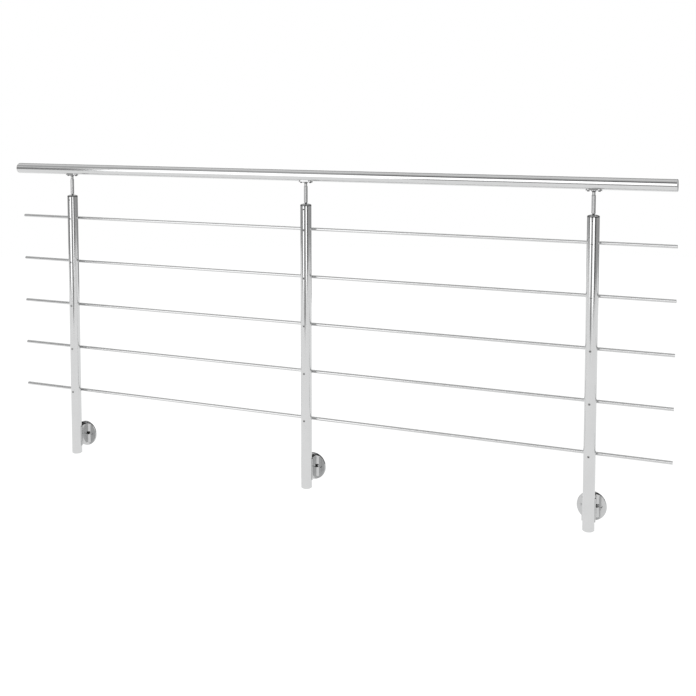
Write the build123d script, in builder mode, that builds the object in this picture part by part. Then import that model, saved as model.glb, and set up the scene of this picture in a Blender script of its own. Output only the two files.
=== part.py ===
from build123d import *
import os
from math import sqrt

# Stainless steel guard railing, fixed to a wall or a floor edge by the feet of its posts.
# Millimetres. X runs along the railing, +Y points into the wall, +Z is up.
# The origin is the centre of the middle flange's back face, which lies on the wall.

# Layout
post_spacing = 1085.0
post_length = 1100.0
rail_overhang = 275.0
post_standoff = 66.0
flange_height = 67.0
rail_rise = 115.0
lowest_bar_height = 268.0
top_bar_depth = 92.0
bar_count = 5

# Tube shared by the posts and the handrail
tube_diameter = 42.4
tube_wall = 2.0
plug_clearance = 0.1

# Horizontal bars, each seated on a small saddle washer behind the post
bar_diameter = 12.0
bar_wall = 1.5
bar_gap = 2.0
bar_cap_flange = 2.5
bar_cap_plug = 8.0
washer_diameter = 11.0

# Screws that hold the bars, with a bevelled head on the post's front
screw_diameter = 5.0
screw_clearance = 0.2
screw_head_diameter = 8.6
screw_head_height = 2.2
screw_head_edge = 1.0

# Caps of the handrail and of the posts' feet
rail_cap_flange = 4.0
rail_cap_plug = 14.0
rail_cap_edge = 1.2
foot_cap_height = 15.0
foot_cap_plug = 16.0
foot_cap_edge = 2.5

# Domed post head with the set screw that grips the pin's foot
head_dome_height = 8.5
head_lip_height = 4.0
head_lip_edge = 0.8
head_plug_length = 26.0
head_screw_depth = 13.0

# Pin between post head and saddle; its thinner foot stands in the head
pin_diameter = 14.0
pin_edge = 1.5
pin_foot_diameter = 8.0
pin_foot_gap = 2.5
pin_seat_depth = 16.0
spigot_diameter = 6.0
spigot_length = 8.0
pin_fit = 0.05

# Saddle under the handrail, on a neck that widens to a round hub
saddle_length = 56.0
saddle_width = 25.0
saddle_thickness = 4.0
saddle_neck_length = 14.0
saddle_neck_diameter = 11.0
saddle_hub_diameter = 20.0
saddle_hub_height = 4.0
saddle_screw_spacing = 38.0
saddle_screw_head = 9.6
saddle_screw_head_height = 2.8
saddle_screw_length = 12.0

# Wall flange, one casting: round plate, neck block and half shell that cradles the post
plate_diameter = 105.0
plate_thickness = 6.0
plate_edge = 1.0
wall_hole_spacing = 70.0
wall_hole_diameter = 9.0
cradle_height = 84.0
cradle_rise = 7.0
cradle_wall = 3.0
neck_width = 34.0
neck_fillet = 12.0
flank_hole_diameter = 13.0
flank_hole_depth = 9.0
flank_hole_setback = 28.0

# Stud that holds the post in the cradle, its nut and its two set screws
stud_diameter = 12.0
stud_clearance = 0.1
stud_reach = 36.0
nut_flats = 18.0
nut_thickness = 8.0
stud_tail = 2.0
grip_screw_diameter = 8.0
grip_screw_length = 8.0

# Sizes that follow from those above
tube_radius = tube_diameter / 2
tube_bore = tube_radius - tube_wall
plug_radius = tube_bore - plug_clearance
bar_radius = bar_diameter / 2
bar_bore = bar_radius - bar_wall
post_y = -post_standoff
bar_y = post_y + tube_radius + bar_gap + bar_radius
foot_z = -flange_height
post_top_z = foot_z + post_length
bar_pitch = (post_length - top_bar_depth - lowest_bar_height) / (bar_count - 1)
rail_z = post_top_z + rail_rise
end_x = post_spacing + rail_overhang
plate_front_y = -plate_thickness
stud_z = cradle_rise

post_names = ["left", "middle", "right"]
post_xs = [-post_spacing, 0.0, post_spacing]
bar_zs = [foot_z + lowest_bar_height + number * bar_pitch for number in range(bar_count)]

os.makedirs("parts", exist_ok=True)


def save(part, name):
    part.label = name
    export_step(part, f"parts/{name}.step")


def level(x, y, z):
    # plane that looks up: sketches lie flat, extrusions rise
    return Plane(origin=(x, y, z), x_dir=(1, 0, 0), z_dir=(0, 0, 1))


def across(x, y, z):
    # plane that faces the wall: extrusions run along +Y
    return Plane(origin=(x, y, z), x_dir=(1, 0, 0), z_dir=(0, 1, 0))


def endways(x, y, z):
    # plane that faces the right-hand end: extrusions run along +X
    return Plane(origin=(x, y, z), x_dir=(0, 1, 0), z_dir=(1, 0, 0))


# Handrail: one tube with two screw holes over each post's saddle
def saddle_screw_places():
    return [(x + side * saddle_screw_spacing / 2) for x in post_xs for side in (-1, 1)]


with BuildPart() as handrail:
    with BuildSketch(endways(-end_x + rail_cap_flange, post_y, rail_z)):
        Circle(tube_radius)
        Circle(tube_bore, mode=Mode.SUBTRACT)
    extrude(amount=2 * (end_x - rail_cap_flange))
    for x in saddle_screw_places():
        with BuildSketch(level(x, post_y, rail_z - tube_radius)):
            Circle(screw_diameter / 2)
        extrude(amount=tube_radius, mode=Mode.SUBTRACT)
save(handrail.part, "handrail_tube")

# Handrail end caps: a flush disc with a plug that fits the tube
for side, name in ((-1, "left"), (1, "right")):
    with BuildPart() as rail_cap:
        with BuildSketch(endways(side * (end_x - rail_cap_flange), post_y, rail_z)):
            Circle(tube_radius)
        extrude(amount=side * rail_cap_flange)
        outer_face = rail_cap.faces().sort_by(Axis.X)[-1 if side > 0 else 0]
        chamfer(outer_face.edges(), rail_cap_edge)
        with BuildSketch(endways(side * (end_x - rail_cap_flange), post_y, rail_z)):
            Circle(plug_radius)
        extrude(amount=-side * rail_cap_plug)
    save(rail_cap.part, f"handrail_end_cap_{name}")


# Posts: tubes with a row of bar screw holes, one set screw hole and one stud hole
def post_tube(x):
    with BuildPart() as post:
        with BuildSketch(level(x, post_y, foot_z + foot_cap_height)):
            Circle(tube_radius)
            Circle(tube_bore, mode=Mode.SUBTRACT)
        extrude(amount=post_length - foot_cap_height)
        for z in bar_zs:
            with BuildSketch(across(x, post_y - tube_radius - bar_gap, z)):
                Circle(screw_diameter / 2 + screw_clearance)
            extrude(amount=tube_diameter + 2 * bar_gap, mode=Mode.SUBTRACT)
        with BuildSketch(across(x, post_y - tube_radius, post_top_z - head_screw_depth)):
            Circle(screw_diameter / 2)
        extrude(amount=tube_radius, mode=Mode.SUBTRACT)
        with BuildSketch(across(x, post_y, stud_z)):
            Circle(stud_diameter / 2 + stud_clearance)
        extrude(amount=tube_radius + bar_gap, mode=Mode.SUBTRACT)
    return post.part


# Foot cap: a thick disc, bevelled below, with a plug that fits the tube
def foot_cap(x):
    with BuildPart() as cap:
        with BuildSketch(level(x, post_y, foot_z)):
            Circle(tube_radius)
        extrude(amount=foot_cap_height)
        chamfer(cap.edges().sort_by(Axis.Z)[0], foot_cap_edge)
        with BuildSketch(level(x, post_y, foot_z + foot_cap_height)):
            Circle(plug_radius)
        extrude(amount=foot_cap_plug)
    return cap.part


# Post head: a bevelled lip on the tube, a shallow dome above, a bored plug below
def post_head(x):
    dome_start = tube_radius - head_lip_edge
    dome_rise = head_dome_height - head_lip_height
    dome_radius = (dome_start**2 + dome_rise**2) / (2 * dome_rise)
    with BuildPart() as head:
        with BuildSketch(Plane(origin=(x, post_y, post_top_z), x_dir=(1, 0, 0), z_dir=(0, -1, 0))):
            with BuildLine():
                Polyline(
                    (0, head_dome_height),
                    (0, -head_plug_length),
                    (plug_radius, -head_plug_length),
                    (plug_radius, 0),
                    (tube_radius - head_lip_edge, 0),
                    (tube_radius, head_lip_edge),
                    (tube_radius, head_lip_height - head_lip_edge),
                    (dome_start, head_lip_height),
                )
                RadiusArc((dome_start, head_lip_height), (0, head_dome_height), -dome_radius)
            make_face()
        revolve(axis=Axis((x, post_y, post_top_z), (0, 0, 1)))
        with BuildSketch(level(x, post_y, post_top_z - pin_seat_depth)):
            Circle(pin_foot_diameter / 2 + pin_fit)
        extrude(amount=pin_seat_depth + head_dome_height, mode=Mode.SUBTRACT)
        with BuildSketch(across(x, post_y - tube_radius, post_top_z - head_screw_depth)):
            Circle(screw_diameter / 2)
        extrude(amount=tube_radius, mode=Mode.SUBTRACT)
    return head.part


# Pin: a rod with bevelled ends, a foot that stands in the head and a spigot that enters the saddle
neck_bottom_z = rail_z - tube_radius - saddle_thickness - saddle_neck_length


def support_pin(x):
    foot_bottom_z = post_top_z - pin_seat_depth
    body_bottom_z = post_top_z + head_dome_height + pin_foot_gap
    with BuildPart() as pin:
        with BuildSketch(level(x, post_y, body_bottom_z)):
            Circle(pin_diameter / 2)
        extrude(amount=neck_bottom_z - body_bottom_z)
        chamfer(pin.edges().filter_by(GeomType.CIRCLE), pin_edge)
        with BuildSketch(level(x, post_y, foot_bottom_z)):
            Circle(pin_foot_diameter / 2)
        extrude(amount=body_bottom_z - foot_bottom_z)
        with BuildSketch(level(x, post_y, neck_bottom_z)):
            Circle(spigot_diameter / 2)
        extrude(amount=spigot_length)
    return pin.part


# Saddle: a strip with round ends, bent to the handrail, on a round neck
def saddle(x):
    saddle_radius = tube_radius + saddle_thickness
    saddle_bottom_z = rail_z - saddle_radius
    with BuildPart() as seat:
        with BuildSketch(level(x, post_y, saddle_bottom_z)):
            SlotOverall(saddle_length, saddle_width)
        extrude(amount=saddle_radius)
        with BuildSketch(endways(x - saddle_length / 2, post_y, rail_z)):
            Circle(saddle_radius)
        extrude(amount=saddle_length, mode=Mode.INTERSECT)
        with BuildSketch(level(x, post_y, neck_bottom_z)):
            Circle(saddle_neck_diameter / 2)
        extrude(amount=saddle_neck_length)
        with BuildSketch(level(x, post_y, saddle_bottom_z - saddle_hub_height)):
            Circle(saddle_neck_diameter / 2)
        with BuildSketch(level(x, post_y, saddle_bottom_z)):
            Circle(saddle_hub_diameter / 2)
        loft()
        with BuildSketch(level(x, post_y, saddle_bottom_z)):
            Circle(saddle_hub_diameter / 2)
        extrude(amount=saddle_thickness)
        with BuildSketch(endways(x - saddle_length / 2, post_y, rail_z)):
            Circle(tube_radius)
        extrude(amount=saddle_length, mode=Mode.SUBTRACT)
        with BuildSketch(level(x, post_y, neck_bottom_z)):
            Circle(spigot_diameter / 2 + pin_fit)
        extrude(amount=spigot_length + pin_fit, mode=Mode.SUBTRACT)
        for side in (-1, 1):
            with BuildSketch(level(x + side * saddle_screw_spacing / 2, post_y, saddle_bottom_z)):
                Circle(screw_diameter / 2 + screw_clearance)
            extrude(amount=saddle_radius, mode=Mode.SUBTRACT)
    return seat.part


# Horizontal bars: thin tubes with one screw hole in the front wall at each post
for number, z in enumerate(bar_zs, start=1):
    with BuildPart() as cross_bar:
        with BuildSketch(endways(-end_x + bar_cap_flange, bar_y, z)):
            Circle(bar_radius)
            Circle(bar_bore, mode=Mode.SUBTRACT)
        extrude(amount=2 * (end_x - bar_cap_flange))
        for x in post_xs:
            with BuildSketch(across(x, bar_y - bar_radius, z)):
                Circle(screw_diameter / 2)
            extrude(amount=bar_radius, mode=Mode.SUBTRACT)
    save(cross_bar.part, f"cross_bar_{number}")

# Bar end caps: the five caps of one end in one node
for side, name in ((-1, "left"), (1, "right")):
    with BuildPart() as bar_caps:
        for z in bar_zs:
            with BuildSketch(endways(side * (end_x - bar_cap_flange), bar_y, z)):
                Circle(bar_radius)
            extrude(amount=side * bar_cap_flange)
            with BuildSketch(endways(side * (end_x - bar_cap_flange), bar_y, z)):
                Circle(bar_bore - plug_clearance)
            extrude(amount=-side * bar_cap_plug)
    save(bar_caps.part, f"bar_end_caps_{name}")


# Saddle washers: short collars hollowed to the post on one side and to the bar on the other
def bar_washers(x):
    with BuildPart() as washers:
        for z in bar_zs:
            with BuildSketch(across(x, post_y, z)):
                Circle(washer_diameter / 2)
                Circle(screw_diameter / 2 + screw_clearance, mode=Mode.SUBTRACT)
            extrude(amount=bar_y - post_y)
        with BuildSketch(level(x, post_y, foot_z)):
            Circle(tube_radius)
        extrude(amount=post_length, mode=Mode.SUBTRACT)
        for z in bar_zs:
            with BuildSketch(endways(x - washer_diameter, bar_y, z)):
                Circle(bar_radius)
            extrude(amount=2 * washer_diameter, mode=Mode.SUBTRACT)
    return washers.part


# Bar screws: bevelled head on the post's front, shank through post and washer into the bar
def bar_screws(x):
    with BuildPart() as screws:
        for z in bar_zs:
            head_y = post_y - tube_radius
            with BuildSketch(across(x, head_y - screw_head_height, z)):
                Circle(screw_head_diameter / 2)
            extrude(amount=screw_head_height)
            with BuildSketch(across(x, head_y, z)):
                Circle(screw_diameter / 2)
            extrude(amount=bar_y - bar_bore / 2 - head_y)
        chamfer(screws.edges().group_by(Axis.Y)[0], screw_head_edge)
    return screws.part


# Wall flange casting
def wall_flange(x):
    shell_radius = tube_radius + cradle_wall
    cradle_bottom = cradle_rise - cradle_height / 2
    with BuildPart() as flange:
        with BuildSketch(across(x, plate_front_y, 0)):
            Circle(plate_diameter / 2)
        extrude(amount=plate_thickness)
        chamfer(flange.edges().group_by(Axis.Y)[0], plate_edge)
        # neck block with flanks that sweep out onto the plate
        with BuildSketch(level(x, 0, cradle_bottom)):
            with BuildLine():
                half = neck_width / 2
                Polyline(
                    (-half, post_y),
                    (half, post_y),
                    (half, plate_front_y - neck_fillet),
                )
                RadiusArc(
                    (half, plate_front_y - neck_fillet),
                    (half + neck_fillet, plate_front_y),
                    -neck_fillet,
                )
                Polyline(
                    (half + neck_fillet, plate_front_y),
                    (-half - neck_fillet, plate_front_y),
                )
                RadiusArc(
                    (-half - neck_fillet, plate_front_y),
                    (-half, plate_front_y - neck_fillet),
                    -neck_fillet,
                )
                Line((-half, plate_front_y - neck_fillet), (-half, post_y))
            make_face()
        extrude(amount=cradle_height)
        # the sweep ends at the plate's rim
        with BuildSketch(across(x, post_y, 0)):
            Circle(plate_diameter / 2)
        extrude(amount=post_standoff, mode=Mode.INTERSECT)
        # half shell around the back of the post
        with BuildSketch(level(x, post_y, cradle_bottom)):
            Circle(shell_radius)
        extrude(amount=cradle_height)
        with BuildSketch(level(x, post_y, cradle_bottom)):
            Circle(tube_radius)
        extrude(amount=cradle_height, mode=Mode.SUBTRACT)
        with BuildSketch(level(x, post_y - shell_radius, cradle_bottom)):
            Rectangle(2 * shell_radius, 2 * shell_radius)
        extrude(amount=cradle_height, mode=Mode.SUBTRACT)
        # bore for the stud
        with BuildSketch(across(x, post_y, stud_z)):
            Circle(stud_diameter / 2 + stud_clearance)
        extrude(amount=tube_radius + stud_reach + stud_clearance, mode=Mode.SUBTRACT)
        # cross bore with a wide mouth in each flank
        for side in (-1, 1):
            with BuildSketch(endways(x, post_y + tube_radius + flank_hole_setback, stud_z)):
                Circle(grip_screw_diameter / 2)
            extrude(amount=side * (neck_width / 2 + neck_fillet), mode=Mode.SUBTRACT)
            mouth_x = x + side * (neck_width / 2 - flank_hole_depth)
            with BuildSketch(endways(mouth_x, post_y + tube_radius + flank_hole_setback, stud_z)):
                Circle(flank_hole_diameter / 2)
            extrude(amount=side * (flank_hole_depth + neck_fillet), mode=Mode.SUBTRACT)
        # holes for the wall anchors
        for side in (-1, 1):
            with BuildSketch(across(x + side * wall_hole_spacing / 2, plate_front_y, 0)):
                Circle(wall_hole_diameter / 2)
            extrude(amount=plate_thickness, mode=Mode.SUBTRACT)
    return flange.part


for name, x in zip(post_names, post_xs):
    save(post_tube(x), f"post_{name}")
    save(foot_cap(x), f"foot_cap_{name}")
    save(post_head(x), f"post_head_{name}")
    save(support_pin(x), f"support_pin_{name}")
    save(saddle(x), f"saddle_{name}")
    save(bar_washers(x), f"bar_washers_{name}")
    save(bar_screws(x), f"bar_screws_{name}")
    save(wall_flange(x), f"wall_flange_{name}")

# Set screws of the post heads, from the posts' fronts to the pins' feet
head_screw_length = tube_radius - screw_clearance - pin_foot_diameter / 2
with BuildPart() as head_set_screws:
    for x in post_xs:
        with BuildSketch(across(x, post_y - tube_radius + screw_clearance, post_top_z - head_screw_depth)):
            Circle(screw_diameter / 2)
        extrude(amount=head_screw_length)
save(head_set_screws.part, "head_set_screws")

# Screws that hold the saddles to the handrail, their bevelled heads below
with BuildPart() as saddle_screws:
    head_top_z = rail_z - tube_radius - saddle_thickness
    for x in saddle_screw_places():
        with BuildSketch(level(x, post_y, head_top_z - saddle_screw_head_height)):
            Circle(saddle_screw_head / 2)
        extrude(amount=saddle_screw_head_height)
    chamfer(saddle_screws.edges().group_by(Axis.Z)[0], screw_head_edge)
    for x in saddle_screw_places():
        with BuildSketch(level(x, post_y, head_top_z)):
            Circle(screw_diameter / 2)
        extrude(amount=saddle_screw_length)
save(saddle_screws.part, "saddle_screws")

# Studs between posts and cradles
nut_face_y = post_y + sqrt(tube_bore**2 - (nut_flats / 2) ** 2)
with BuildPart() as post_studs:
    for x in post_xs:
        stud_start = nut_face_y - nut_thickness - stud_tail
        with BuildSketch(across(x, stud_start, stud_z)):
            Circle(stud_diameter / 2)
        extrude(amount=post_y + tube_radius + stud_reach - stud_start)
save(post_studs.part, "post_studs")

# Nuts on the studs, seated on the inside of the posts' back walls
with BuildPart() as stud_nuts:
    for x in post_xs:
        with BuildSketch(across(x, nut_face_y - nut_thickness, stud_z)):
            RegularPolygon(nut_flats / 2, 6, major_radius=False, rotation=30)
            Circle(stud_diameter / 2, mode=Mode.SUBTRACT)
        extrude(amount=nut_thickness)
save(stud_nuts.part, "stud_nuts")

# Set screws that grip the studs from both flanks of the cradles
with BuildPart() as stud_grip_screws:
    for x in post_xs:
        for side in (-1, 1):
            tip_x = x + side * stud_diameter / 2
            screw_y = post_y + tube_radius + flank_hole_setback
            with BuildSketch(endways(tip_x, screw_y, stud_z)):
                Circle(grip_screw_diameter / 2)
            extrude(amount=side * grip_screw_length)
save(stud_grip_screws.part, "stud_grip_screws")
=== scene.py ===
import math
import bmesh
import bpy
from mathutils import Matrix, Vector


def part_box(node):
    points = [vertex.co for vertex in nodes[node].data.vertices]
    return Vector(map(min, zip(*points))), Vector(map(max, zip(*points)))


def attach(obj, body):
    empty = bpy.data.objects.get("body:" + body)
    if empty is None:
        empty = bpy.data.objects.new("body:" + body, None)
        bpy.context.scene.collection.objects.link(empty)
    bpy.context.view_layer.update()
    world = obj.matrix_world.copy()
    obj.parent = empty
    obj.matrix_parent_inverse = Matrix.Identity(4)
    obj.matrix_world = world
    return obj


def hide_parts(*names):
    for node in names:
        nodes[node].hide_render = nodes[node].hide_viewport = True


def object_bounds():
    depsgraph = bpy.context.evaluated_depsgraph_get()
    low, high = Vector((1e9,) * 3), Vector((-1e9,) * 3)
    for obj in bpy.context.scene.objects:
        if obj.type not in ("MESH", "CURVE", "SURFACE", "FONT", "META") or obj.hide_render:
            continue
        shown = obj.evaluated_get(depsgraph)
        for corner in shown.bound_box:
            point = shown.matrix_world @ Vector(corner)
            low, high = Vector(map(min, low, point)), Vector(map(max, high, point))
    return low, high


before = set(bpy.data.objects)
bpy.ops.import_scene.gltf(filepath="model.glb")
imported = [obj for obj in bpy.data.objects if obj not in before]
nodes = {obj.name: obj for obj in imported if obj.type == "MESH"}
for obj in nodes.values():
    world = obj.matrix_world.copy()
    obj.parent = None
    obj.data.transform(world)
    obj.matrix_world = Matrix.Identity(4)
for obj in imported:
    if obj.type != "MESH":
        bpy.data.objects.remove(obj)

# Stainless steel railing with horizontal bars. Metres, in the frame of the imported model:
# X along the railing, +Y into the wall, +Z up.
cadLow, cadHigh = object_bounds()
mm = 0.001
sides = ("left", "middle", "right")

# Places read from the frame
railLow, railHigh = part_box("handrail_tube")
railCentre = (railLow + railHigh) / 2
tubeRadius = (railHigh.z - railLow.z) / 2       # the posts have the same tube
postBoxes = [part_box(f"post_{side}") for side in sides]
postXs = [(low.x + high.x) / 2 for low, high in postBoxes]
postSpacing = postXs[2] - postXs[1]
postY = railCentre.y
postFront = postY - tubeRadius
postTop = postBoxes[0][1].z
barBoxes = [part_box(f"cross_bar_{number}") for number in range(1, 6)]
barZs = [(low.z + high.z) / 2 for low, high in barBoxes]
barY = (barBoxes[0][0].y + barBoxes[0][1].y) / 2


def addObject(name, data):
    made = bpy.data.objects.new(name, data)
    bpy.context.scene.collection.objects.link(made)
    return made


# Camera, tilted a little so that its shift stays small
cameraSet = {
    "place": (1.7101, -3.7045, 1.4004),
    "pitch": 4.137,     # degrees below level
    "yaw": 22.881,      # degrees towards -X
    "lens": 54.681,
    "sensor": 36.0,
    "shiftY": -0.2333,
}

cameraData = bpy.data.cameras.new("camera")
cameraData.lens = cameraSet["lens"]
cameraData.sensor_width = cameraSet["sensor"]
cameraData.shift_y = cameraSet["shiftY"]
camera = addObject("camera", cameraData)
camera.location = cameraSet["place"]
camera.rotation_euler = (math.radians(90 - cameraSet["pitch"]), 0,
                         math.radians(cameraSet["yaw"]))
bpy.context.scene.camera = camera
print("camera placed")


# Shader sums: one wire is one socket, and each operator adds a Math node
class Wire:
    def __init__(self, tree, socket=None):
        self.tree = tree
        self.socket = socket

    def node(self, kind, sockets=None, out=0, **settings):
        made = self.tree.nodes.new(kind)
        for name, value in settings.items():
            setattr(made, name, value)
        for key, value in (sockets or {}).items():
            if isinstance(value, Wire):
                self.tree.links.new(value.socket, made.inputs[key])
            else:
                made.inputs[key].default_value = value
        return Wire(self.tree, made.outputs[out] if made.outputs else None)

    def math(self, operation, *values):
        return self.node("ShaderNodeMath", dict(enumerate(values)), operation=operation)

    def __add__(self, other):
        return self.math("ADD", self, other)

    def __sub__(self, other):
        return self.math("SUBTRACT", self, other)

    def __mul__(self, other):
        return self.math("MULTIPLY", self, other)

    def __pow__(self, other):
        return self.math("POWER", self, other)

    def __radd__(self, other):
        return self.math("ADD", other, self)

    def __rsub__(self, other):
        return self.math("SUBTRACT", other, self)

    def __rmul__(self, other):
        return self.math("MULTIPLY", other, self)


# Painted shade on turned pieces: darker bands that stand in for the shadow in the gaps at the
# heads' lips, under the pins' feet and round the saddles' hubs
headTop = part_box("post_head_middle")[1].z
saddleThickness = 4 * mm
saddleBottom = railCentre.z - tubeRadius - saddleThickness
paintedGapShade = {
    "shade": 0.12,
    "heights": [    # lowest and highest point of each
        (postTop - 0.3 * mm, postTop + 3.3 * mm),
        (headTop - 0.2 * mm, headTop + 2.5 * mm),
        (saddleBottom - 4.2 * mm, saddleBottom),
    ],
}

# Finishes: spread and roughSpread are how far the tone and the roughness wander
brushing = {
    "tint": (0.992, 0.998, 1),  # red, green and blue over the tone
    "detail": 3.0,
    "roughness": 0.6,
    "depth": 0.5 * mm,
    "tubeClouds": 14.0,         # how fast the finish drifts, per metre
    "turnedClouds": 40.0,
    "cloudDetail": 2.0,
}
steelLooks = {
    # grain is how fast the brush lines change along X, Y and Z, per metre
    "postTube": {"tone": 0.62, "spread": 0.05, "rough": 0.10, "roughSpread": 0.05,
                 "grain": (45, 45, 5200), "bump": 0.015},
    "railTube": {"tone": 0.62, "spread": 0.05, "rough": 0.11, "roughSpread": 0.05,
                 "grain": (5200, 45, 45), "bump": 0.015},
    "bar": {"tone": 0.60, "spread": 0.03, "rough": 0.12, "roughSpread": 0.05,
            "grain": (60, 3000, 3000), "bump": 0.015},
    "barScrew": {"tone": 0.32, "spread": 0.03, "rough": 0.30, "roughSpread": 0.10,
                 "grain": (1500, 1500, 1500), "bump": 0.040},
    # the black set and saddle screws, and painted shade for the dark cores behind the wall
    # screws' slots
    "darkScrewAndShade": {"tone": 0.075, "spread": 0.02, "rough": 0.36, "roughSpread": 0.10,
                  "grain": (1500, 1500, 1500), "bump": 0.050},
}
turnedLooks = {
    # the lines run in rings round an axis, one axis per post
    "turned": {"tone": 0.56, "spread": 0.04, "rough": 0.09, "roughSpread": 0.05,
               "rings": 5200, "axis": "Z", "bump": 0.010, "shadedGaps": paintedGapShade["heights"]},
    "facedPlate": {"tone": 0.53, "spread": 0.06, "rough": 0.14, "roughSpread": 0.06,
                   "rings": 2600, "axis": "Y", "bump": 0.020, "shadedGaps": []},
}


def newMaterial(name):
    material = bpy.data.materials.new(name)
    material.use_nodes = True
    material.node_tree.nodes.clear()
    return material, Wire(material.node_tree)


def finishSteel(wire, look, grain, cloud, shade=1.0):
    # grain and cloud run from 0 to 1: brush lines, and the slow drift of the finish
    mix = (grain - 0.5) * look["spread"] + (cloud - 0.5) * look["spread"]
    tone = wire.node("ShaderNodeCombineColor", {
        channel: (mix + look["tone"] * tint) * shade
        for channel, tint in enumerate(brushing["tint"])
    })
    drift = (grain - 0.5) * look["roughSpread"] + (cloud - 0.5) * look["roughSpread"]
    rough = drift + look["rough"]
    bump = wire.node("ShaderNodeBump", {
        "Strength": look["bump"],
        "Distance": brushing["depth"],
        "Height": grain,
    })
    shader = wire.node("ShaderNodeBsdfPrincipled", {
        "Base Color": tone,
        "Metallic": 1.0,
        "Roughness": rough,
        "Normal": bump,
    })
    wire.node("ShaderNodeOutputMaterial", {"Surface": shader})


def grainNoise(wire, lines, **settings):
    sockets = {"Scale": 1.0, "Detail": brushing["detail"], "Roughness": brushing["roughness"]}
    return wire.node("ShaderNodeTexNoise", {**lines, **sockets}, **settings)


def cloudNoise(wire, place, scale):
    sockets = {"Vector": place, "Scale": scale, "Detail": brushing["cloudDetail"]}
    return wire.node("ShaderNodeTexNoise", sockets)


def brushedSteel(name, look):
    material, wire = newMaterial(name)
    place = wire.node("ShaderNodeTexCoord", out="Object")
    lines = wire.node("ShaderNodeVectorMath", {0: place, 1: look["grain"]}, operation="MULTIPLY")
    grain = grainNoise(wire, {"Vector": lines})
    cloud = cloudNoise(wire, place, brushing["tubeClouds"])
    finishSteel(wire, look, grain, cloud)
    return material


def turnedSteel(name, look):
    material, wire = newMaterial(name)
    place = wire.node("ShaderNodeTexCoord", out="Object")
    apart = wire.node("ShaderNodeSeparateXYZ", {0: place})
    x, y, z = (Wire(apart.tree, socket) for socket in apart.socket.node.outputs)
    localX = wire.math("WRAP", x, postSpacing / 2, -postSpacing / 2)
    other = y - postY if look["axis"] == "Z" else z
    radius = (localX * localX + other * other) ** 0.5
    along = z if look["axis"] == "Z" else y
    rings = radius * look["rings"] + along * look["rings"]
    grain = grainNoise(wire, {"W": rings}, noise_dimensions="1D")
    cloud = cloudNoise(wire, place, brushing["turnedClouds"])
    shade = 1.0
    # painted shade: each band darkens the tone at the height of a gap, where its shadow falls
    for low, high in look["shadedGaps"]:
        inside = wire.math("GREATER_THAN", z, low) * wire.math("LESS_THAN", z, high)
        shade = (1 - inside * (1 - paintedGapShade["shade"])) * shade
    finishSteel(wire, look, grain, cloud, shade)
    return material


finishes = {name: brushedSteel(name, look) for name, look in steelLooks.items()}
finishes.update({name: turnedSteel(name, look) for name, look in turnedLooks.items()})

# By the start of a node's name; the longest that fits counts
nodeFinishes = {
    "post_left": "postTube", "post_middle": "postTube", "post_right": "postTube",
    "foot_cap": "postTube", "handrail": "railTube", "cross_bar": "bar", "bar_end_caps": "bar",
    "bar_washers": "turned", "post_head": "turned", "support_pin": "turned", "saddle": "turned",
    "wall_flange": "facedPlate", "post_studs": "turned", "stud_nuts": "turned",
    "bar_screws": "darkScrewAndShade", "head_set_screws": "darkScrewAndShade", "saddle_screws": "darkScrewAndShade",
    "stud_grip_screws": "darkScrewAndShade",
}


def coat(piece, finish):
    material = finishes[finish]
    if not piece.material_slots:
        piece.data.materials.append(material)
    for slot in piece.material_slots:
        slot.material = material


for nodeName, piece in nodes.items():
    start = max((key for key in nodeFinishes if nodeName.startswith(key)), key=len)
    coat(piece, nodeFinishes[start])
print("frame coated")


# Mesh helpers
smoothAngle = math.radians(32)      # faces that meet at less are shaded as one


def ring(mesh, radius, height, corners=30, perSide=1):
    # a loop of edges at a height; with perSide above 1 it is a polygon whose sides are cut
    before = set(mesh.edges)
    bmesh.ops.create_circle(mesh, cap_ends=False, segments=corners, radius=radius,
                            matrix=Matrix.Translation((0, 0, height)))
    made = [edge for edge in mesh.edges if edge not in before]
    if perSide > 1:
        bmesh.ops.subdivide_edges(mesh, edges=made, cuts=perSide - 1)
        made = [edge for edge in mesh.edges if edge not in before]
    return made


def stackRings(mesh, loops):
    # closes the first and last loop, and walls each loop to the next
    for lower, upper in zip(loops, loops[1:]):
        bmesh.ops.bridge_loops(mesh, edges=lower + upper)
    bmesh.ops.edgeloop_fill(mesh, edges=loops[0])
    bmesh.ops.edgeloop_fill(mesh, edges=loops[-1])


def wideFaceNormals(mesh):
    # one normal per face corner, led by the widest of the faces that meet smoothly there
    normals = []
    for face in mesh.faces:
        for vert in face.verts:
            near = [other for other in vert.link_faces
                    if other == face or face.normal.angle(other.normal, 0) < smoothAngle]
            total = sum((other.normal * other.calc_area() for other in near), Vector())
            normals.append(total.normalized())
    return normals


def finishPiece(mesh, name, finish, replaced):
    bmesh.ops.recalc_face_normals(mesh, faces=mesh.faces)
    for face in mesh.faces:
        face.smooth = True
    normals = wideFaceNormals(mesh)
    data = bpy.data.meshes.new(name)
    mesh.to_mesh(data)
    mesh.free()
    data.normals_split_custom_set(normals)
    piece = addObject(name, data)
    coat(piece, finish)
    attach(piece, "root")
    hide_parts(*replaced)


# A socket screw that stands on the origin, head up: rings from its tip to its socket's floor
socketShape = {
    "hexagon": (6, 5),      # sides, and edges in each
    "drilledShare": 0.5,    # the drilled floor's radius over the socket's
    "drilledDepth": 0.3 * mm,
}


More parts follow.
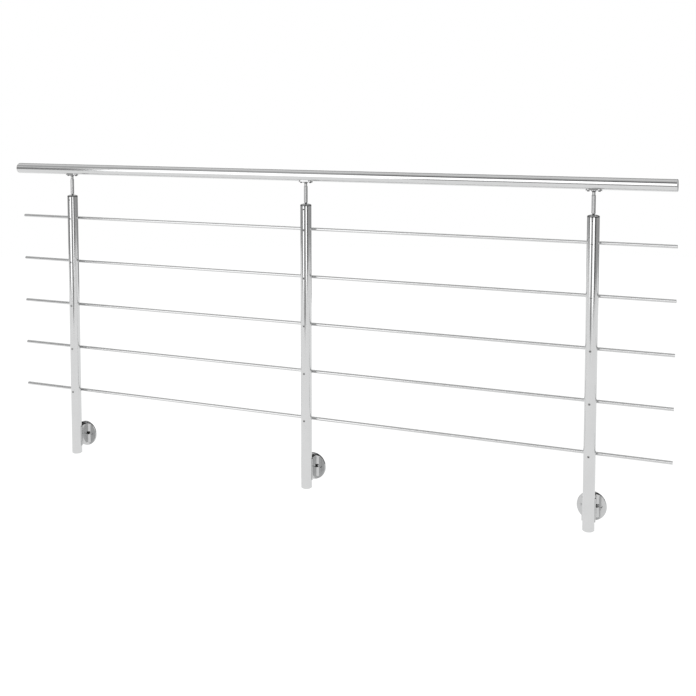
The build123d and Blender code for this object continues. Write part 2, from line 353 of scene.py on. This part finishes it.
def socketScrew(mesh, screw, matrix):
    made = bmesh.new()
    shank = screw["shank"] / 2
    loops = [ring(made, shank - screw["tipEdge"], -screw["reach"]),
             ring(made, shank, -screw["reach"] + screw["tipEdge"])]
    loops += [ring(made, radius, height) for radius, height in screw["head"]]
    socketRadius = screw["flats"] / math.sqrt(3)
    top = screw["head"][-1][1]
    hexagon = socketShape["hexagon"]
    loops.append(ring(made, socketRadius + screw["socketEdge"], top, *hexagon))
    loops.append(ring(made, socketRadius, top - screw["socketEdge"], *hexagon))
    loops.append(ring(made, socketRadius, top - screw["depth"], *hexagon))
    loops.append(ring(made, socketRadius * socketShape["drilledShare"],
                      top - screw["depth"] - socketShape["drilledDepth"]))
    stackRings(made, loops)
    bmesh.ops.transform(made, matrix=matrix, verts=made.verts)
    data = bpy.data.meshes.new("screw")
    made.to_mesh(data)
    made.free()
    mesh.from_mesh(data)
    bpy.data.meshes.remove(data)


# Button screws that hold the bars, seen as dark dots on the posts' fronts
buttonShape = {
    "flatShare": 0.50,      # the flat round the socket over the head's radius
    "rimEdge": 0.1 * mm,
    "domeRings": 6,
}
barScrew = {
    "shank": 5 * mm,
    "tipEdge": 0.6 * mm,
    "tipPastAxis": 1.5 * mm,    # how far the tip goes past the bar's axis
    "skirt": 0.5 * mm,          # the head's underside follows the tube
    "headRadius": 4.3 * mm,
    "headHeight": 2.2 * mm,
    "rimHeight": 0.5 * mm,
    "flats": 3 * mm,
    "depth": 1.3 * mm,
    "socketEdge": 0.15 * mm,
    "turns": (11, 23),          # degrees of the lowest socket, and more for each above
}


def buttonHead(screw):
    # rim, then a rounded crown that ends in a small flat round the socket
    radius, skirt, edge = screw["headRadius"], screw["skirt"], buttonShape["rimEdge"]
    flat = radius * buttonShape["flatShare"]
    rise = screw["headHeight"] - screw["rimHeight"]
    points = [(screw["shank"] / 2, -skirt), (radius - edge, -skirt), (radius, -skirt + edge)]
    for step in range(buttonShape["domeRings"] + 1):
        turn = step / buttonShape["domeRings"] * math.pi / 2
        points.append((flat + (radius - flat) * math.cos(turn),
                       screw["rimHeight"] + rise * math.sin(turn)))
    return points


barScrew["reach"] = barY + barScrew["tipPastAxis"] - postFront
barScrew["head"] = buttonHead(barScrew)
facingOut = Matrix.Rotation(math.radians(90), 4, "X")     # the screw's head points to -Y

firstTurn, turnStep = barScrew["turns"]
for side, x in zip(sides, postXs):
    mesh = bmesh.new()
    for number, z in enumerate(barZs):
        spin = Matrix.Rotation(math.radians(turnStep * number + firstTurn), 4, "Z")
        socketScrew(mesh, barScrew, Matrix.Translation((x, postFront, z)) @ facingOut @ spin)
    finishPiece(mesh, f"bar_button_screws_{side}", "barScrew",
                [f"bar_screws_{side}"])
print("bar screws made")


# Set screws that lock the post heads, flush with the posts' fronts
setScrewEdge = {"width": 0.4 * mm, "height": 0.5 * mm}
setLow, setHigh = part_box("head_set_screws")
headSetScrew = {
    "shank": 5 * mm,
    "tipEdge": 0.8 * mm,
    "reach": setHigh.y - setLow.y,
    "flats": 2.5 * mm,
    "depth": 2.2 * mm,
    "socketEdge": 0.12 * mm,
}


def setScrewHead(screw):
    # a plain end with a bevelled edge
    radius = screw["shank"] / 2
    return [(radius, -setScrewEdge["height"]), (radius - setScrewEdge["width"], 0)]


headSetScrew["head"] = setScrewHead(headSetScrew)
mesh = bmesh.new()
for x in postXs:
    place = Matrix.Translation((x, setLow.y, (setLow.z + setHigh.z) / 2))
    socketScrew(mesh, headSetScrew, place @ facingOut)
finishPiece(mesh, "head_socket_set_screws", "darkScrewAndShade", ["head_set_screws"])

# Set screws in the flanks of the cradles
gripLow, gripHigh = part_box("stud_grip_screws")
gripScrew = {
    "shank": 8 * mm,
    "tipEdge": 1.2 * mm,
    "reach": 8 * mm,
    "flats": 4 * mm,
    "depth": 3.5 * mm,
    "socketEdge": 0.15 * mm,
    "end": gripHigh.x - postXs[2],      # from the post's axis to the socket
}
gripScrew["head"] = setScrewHead(gripScrew)
gripY, gripZ = (gripLow.y + gripHigh.y) / 2, (gripLow.z + gripHigh.z) / 2
mesh = bmesh.new()
for x in postXs:
    for flank in (-1, 1):
        place = Matrix.Translation((x + flank * gripScrew["end"], gripY, gripZ))
        facingAside = Matrix.Rotation(flank * math.radians(90), 4, "Y")
        socketScrew(mesh, gripScrew, place @ facingAside)
finishPiece(mesh, "flank_socket_set_screws", "darkScrewAndShade", ["stud_grip_screws"])

# Button screws under the saddles, their heads pointing down
saddleLow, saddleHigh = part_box("saddle_screws")
saddleScrew = {
    "shank": 5 * mm,
    "tipEdge": 0.8 * mm,
    "skirt": 0.0,
    "headRadius": 4.8 * mm,
    "headHeight": 2.8 * mm,
    "rimHeight": 0.8 * mm,
    "flats": 3 * mm,
    "depth": 1.6 * mm,
    "socketEdge": 0.15 * mm,
}
saddleScrew["reach"] = saddleHigh.z - saddleLow.z - saddleScrew["headHeight"]
saddleScrew["head"] = buttonHead(saddleScrew)
seatZ = saddleLow.z + saddleScrew["headHeight"]
screwOffset = saddleHigh.x - saddleScrew["headRadius"] - postXs[2]
facingDown = Matrix.Rotation(math.pi, 4, "X")
mesh = bmesh.new()
for x in postXs:
    for end in (-1, 1):
        place = Matrix.Translation((x + end * screwOffset, postY, seatZ))
        socketScrew(mesh, saddleScrew, place @ facingDown)
finishPiece(mesh, "saddle_button_screws", "darkScrewAndShade", ["saddle_screws"])
print("set screws and saddle screws made")


# Wall flanges with softened rims, which catch the light as lines
flangeSoftening = {
    "width": 1.2 * mm,
    "steps": 3,
    "sharpAngle": 40,       # degrees, above which an edge is softened
    "flatAngle": 0.5,       # degrees, below which faces of the CAD mesh are joined
    "seatGap": 0.5 * mm,    # edges this near to the post are left sharp
    "levelSlack": 1e-5,
    "mergeReach": 1e-6,
}


def isRim(edge, x, levels):
    # sharp, level with the cradle's lower or upper end, and clear of the post's seat
    sharp = edge.calc_face_angle(0) > math.radians(flangeSoftening["sharpAngle"])
    level = all(min(abs(vert.co.z - z) for z in levels) < flangeSoftening["levelSlack"]
                for vert in edge.verts)
    seat = tubeRadius + flangeSoftening["seatGap"]
    clear = any(math.hypot(vert.co.x - x, vert.co.y - postY) > seat for vert in edge.verts)
    return sharp and level and clear


for side, x in zip(sides, postXs):
    source = nodes[f"wall_flange_{side}"]
    mesh = bmesh.new()
    mesh.from_mesh(source.data)
    bmesh.ops.transform(mesh, matrix=source.matrix_world, verts=mesh.verts)
    bmesh.ops.remove_doubles(mesh, verts=mesh.verts, dist=flangeSoftening["mergeReach"])
    bmesh.ops.dissolve_limit(mesh, angle_limit=math.radians(flangeSoftening["flatAngle"]),
                             verts=mesh.verts, edges=mesh.edges)
    cradle = [vert.co.z for vert in mesh.verts if vert.co.y < postY + tubeRadius]
    levels = (min(cradle), max(cradle))
    rims = [edge for edge in mesh.edges if isRim(edge, x, levels)]
    bmesh.ops.bevel(mesh, geom=rims, offset=flangeSoftening["width"],
                    segments=flangeSoftening["steps"], profile=0.5, affect="EDGES",
                    clamp_overlap=True, material=-1)
    finishPiece(mesh, f"softened_wall_flange_{side}", "facedPlate",
                [f"wall_flange_{side}"])
print("wall flanges softened")


# Flush screws in the plates' wall holes: a steel head cut by a slot, over a dark core that is
# painted shade, a dark disc standing in for the shadow down the slot
wallScrew = {
    "holeOffset": 35 * mm,
    "headRadius": 4.3 * mm,
    "coreRadius": 4.1 * mm,
    "front": -5.7 * mm,
    "slotFloor": -4.2 * mm,
    "back": -0.3 * mm,
    "slotWidth": 2.2 * mm,
    "slotTurn": 45,         # degrees, mirrored between the two holes
    "overlap": 0.2 * mm,    # how far the head sinks into the core
    "corners": 36,
}


def disc(mesh, radius, front, back):
    # a closed cylinder on the Y axis
    middle = Matrix.Translation((0, (front + back) / 2, 0))
    bmesh.ops.create_cone(mesh, cap_ends=True, segments=wallScrew["corners"], radius1=radius,
                          radius2=radius, depth=back - front, matrix=middle @ facingOut)


def slottedHead():
    # a cylinder on the Y axis in two halves, with the slot between them
    head = bpy.data.meshes.new("head")
    both = bmesh.new()
    for half in (-1, 1):
        mesh = bmesh.new()
        disc(mesh, wallScrew["headRadius"], wallScrew["front"],
             wallScrew["slotFloor"] + wallScrew["overlap"])
        bmesh.ops.bisect_plane(mesh, geom=[*mesh.verts, *mesh.edges, *mesh.faces],
                               plane_co=(half * wallScrew["slotWidth"] / 2, 0, 0),
                               plane_no=(half, 0, 0), clear_inner=True)
        bmesh.ops.holes_fill(mesh, edges=[edge for edge in mesh.edges if edge.is_boundary])
        mesh.to_mesh(head)
        mesh.free()
        both.from_mesh(head)
    both.to_mesh(head)
    both.free()
    return head


# painted shade: a dark disc behind the head, seen through the slot where only shadow would be
def paintedShadeCore():
    core = bpy.data.meshes.new("core")
    mesh = bmesh.new()
    disc(mesh, wallScrew["coreRadius"], wallScrew["slotFloor"], wallScrew["back"])
    mesh.to_mesh(core)
    mesh.free()
    return core


def addTurned(mesh, source, matrix):
    before = len(mesh.verts)
    mesh.from_mesh(source)
    mesh.verts.ensure_lookup_table()
    bmesh.ops.transform(mesh, matrix=matrix, verts=mesh.verts[before:])


head, core = slottedHead(), paintedShadeCore()
for side, x in zip(sides, postXs):
    heads, shadeCores = bmesh.new(), bmesh.new()
    for hole in (-1, 1):
        place = Matrix.Translation((x + hole * wallScrew["holeOffset"], 0, 0))
        turn = Matrix.Rotation(math.radians(wallScrew["slotTurn"]) * hole, 4, "Y")
        addTurned(heads, head, place @ turn)
        addTurned(shadeCores, core, place)
    finishPiece(heads, f"wall_screw_heads_{side}", "facedPlate", [])
    finishPiece(shadeCores, f"wall_screw_shade_cores_{side}", "darkScrewAndShade", [])
print("wall screws made")


# Studio: white world and floor, one soft overhead lamp, and panels that only the steel mirrors
studio = {
    "floorDrop": 0.25,          # below the posts' feet, which hang free
    "floorRadius": 9.0,
    "floorCorners": 96,
    "floorTone": 0.30,
    "floorGlow": 0.78,          # seen directly and in gloss only
    "worldLight": 0.9,
    "lampPlace": (-0.6, -1.2, 4.2),
    "lampSize": (4.4, 1.6),
    "lampGlow": 1.2,
    # upright panels: both ends in plan, lowest and highest point, tone
    "walls": [
        (-4.10, -4.3, 4.20, -4.3, 0.95, 4.30, 1.90),
        (-4.10, -4.3, -1.15, -4.3, -0.10, 0.95, 1.90),
        (1.75, -4.3, 4.20, -4.3, -0.10, 0.95, 1.90),
        (-1.15, -4.3, 1.75, -4.3, -0.31, 0.95, 0.34),
        (-9.00, -2.0, -4.10, -4.3, -0.31, 3.00, 0.32),
        (-9.00, 5.2, -9.00, -2.0, -0.31, 3.00, 0.50),
        (4.20, -4.3, 7.20, -2.9, -0.31, 3.00, 0.13),
        (7.20, -2.9, 8.60, 5.2, -0.31, 3.00, 0.45),
        (8.60, 5.2, -9.00, 5.2, -0.31, 1.15, 0.38),
        (8.60, 5.2, -9.00, 5.2, 1.15, 4.50, 0.04),
    ],
    # level panels: low and high corner in plan, height, tone
    "canopies": [
        (-1.60, -4.3, 8.00, -2.0, 4.6, 0.17),
        (-8.00, -4.3, -1.60, -2.0, 4.6, 0.50),
        (-8.00, -2.0, 8.00, -0.6, 4.6, 0.60),
        (-8.00, -0.6, 8.00, 1.5, 4.6, 0.90),
        (-8.00, 1.5, 8.00, 5.2, 4.6, 0.70),
    ],
}
white = (1, 1, 1, 1)
floorZ = cadLow.z - studio["floorDrop"]


def seenDirectly(wire):
    path = wire.node("ShaderNodeLightPath").socket.node
    camera, glossy, through = (
        Wire(wire.tree, path.outputs[name])
        for name in ("Is Camera Ray", "Is Glossy Ray", "Is Transmission Ray"))
    return wire.math("MAXIMUM", wire.math("MAXIMUM", camera, glossy), through)


def stagePiece(mesh, name, material):
    data = bpy.data.meshes.new(name)
    mesh.to_mesh(data)
    mesh.free()
    data.materials.append(material)
    piece = addObject(name, data)
    return piece


floorMaterial, wire = newMaterial("paleFloor")
matte = wire.node("ShaderNodeBsdfDiffuse", {"Color": (studio["floorTone"],) * 3 + (1,)})
glow = wire.node("ShaderNodeEmission", {
    "Color": white,
    "Strength": seenDirectly(wire) * studio["floorGlow"],
})
both = wire.node("ShaderNodeAddShader", {0: matte, 1: glow})
wire.node("ShaderNodeOutputMaterial", {"Surface": both})
mesh = bmesh.new()
bmesh.ops.create_circle(mesh, cap_ends=True, segments=studio["floorCorners"],
                        radius=studio["floorRadius"],
                        matrix=Matrix.Translation((0, 0, floorZ)))
stagePiece(mesh, "floor", floorMaterial)

panels = [(((x0, y0, low), (x1, y1, low), (x1, y1, high), (x0, y0, high)), tone)
          for x0, y0, x1, y1, low, high, tone in studio["walls"]]
panels += [(((x0, y0, z), (x1, y0, z), (x1, y1, z), (x0, y1, z)), tone)
           for x0, y0, x1, y1, z, tone in studio["canopies"]]
for number, (corners, tone) in enumerate(panels):
    material, wire = newMaterial(f"panel{number}")
    glow = wire.node("ShaderNodeEmission", {"Color": white, "Strength": tone})
    wire.node("ShaderNodeOutputMaterial", {"Surface": glow})
    mesh = bmesh.new()
    bmesh.ops.contextual_create(mesh, geom=[mesh.verts.new(corner) for corner in corners])
    panel = stagePiece(mesh, f"panel{number}", material)
    panel.visible_camera = False
    panel.visible_shadow = False
    panel.visible_diffuse = False

lampData = bpy.data.lights.new("overhead", "AREA")
lampData.shape = "RECTANGLE"
lampData.size, lampData.size_y = studio["lampSize"]
lampData.energy = studio["lampGlow"] * math.pi * lampData.size * lampData.size_y
lamp = addObject("overhead", lampData)
lamp.location = studio["lampPlace"]
lamp.visible_camera = False
lamp.visible_glossy = False

world = bpy.data.worlds.new("studio")
world.use_nodes = True
world.node_tree.nodes.clear()
wire = Wire(world.node_tree)
direct = seenDirectly(wire)
strength = direct + (1 - direct) * studio["worldLight"]
sky = wire.node("ShaderNodeBackground", {"Color": white, "Strength": strength})
wire.node("ShaderNodeOutputWorld", {"Surface": sky})
bpy.context.scene.world = world
bpy.context.scene.view_settings.view_transform = "Standard"
print("studio lit")
